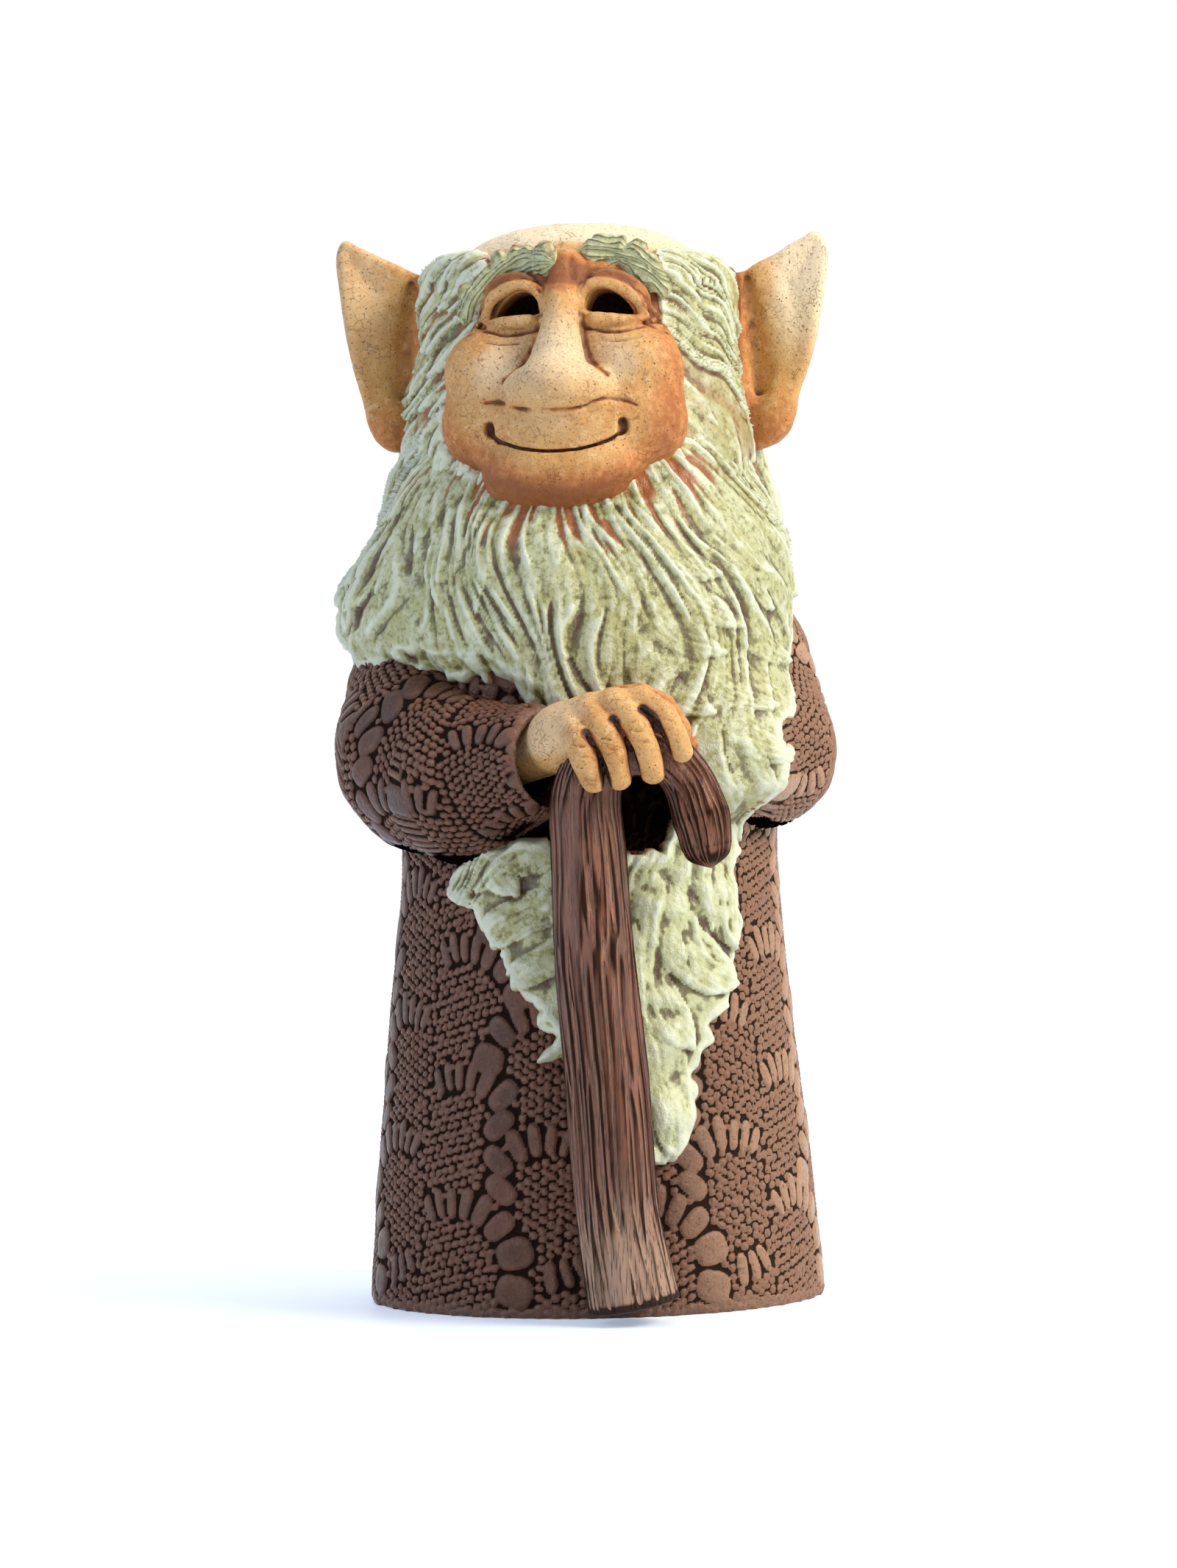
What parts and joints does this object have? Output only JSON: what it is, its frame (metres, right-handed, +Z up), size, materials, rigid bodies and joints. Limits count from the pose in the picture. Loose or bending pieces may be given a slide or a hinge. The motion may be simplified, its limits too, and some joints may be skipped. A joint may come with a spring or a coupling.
{
  "type": "clay figurine",
  "caption": "Hollow fired-clay figurine of a bearded old gnome in a textured robe, both hands on a crooked walking stick; a free-standing ornament that rests on its open hem.",
  "frame": {"origin": "middle of the whole figure's bounding box, on the surface that the hem stands on", "axes": "+Z up the figure, -Y out of its face, +X towards its left hand"},
  "size_m": [0.135, 0.1412, 0.294],
  "materials": {
    "flesh_clay": "bare ochre stoneware with a thin brown oxide wash left in its creases",
    "green_glaze": "pale sage-green glaze, satin to glossy, breaking to brown on sharp edges",
    "robe_stain": "dark red-brown iron oxide stain over embossed clay, rubbed lighter on the high spots",
    "stick_stain": "dark brown iron oxide stain over carved wood grain, slight sheen"
  },
  "bodies": {
    "root": {"robe_body": "robe_stain", "head_shell": "flesh_clay", "face_mask": "flesh_clay", "nose": "flesh_clay", "right_upper_eyelid": "flesh_clay", "left_upper_eyelid": "flesh_clay", "right_lower_eyelid": "flesh_clay", "left_lower_eyelid": "flesh_clay", "right_eyebrow": "green_glaze", "left_eyebrow": "green_glaze", "right_ear": "flesh_clay", "left_ear": "flesh_clay", "right_side_hair": "green_glaze", "left_side_hair": "green_glaze", "back_hair": "green_glaze", "beard_fan": "green_glaze", "beard_tail": "green_glaze", "right_sleeve": "robe_stain", "left_sleeve": "robe_stain", "walking_stick": "stick_stain", "right_hand": "flesh_clay", "left_hand": "flesh_clay"}
  },
  "joints": []
}
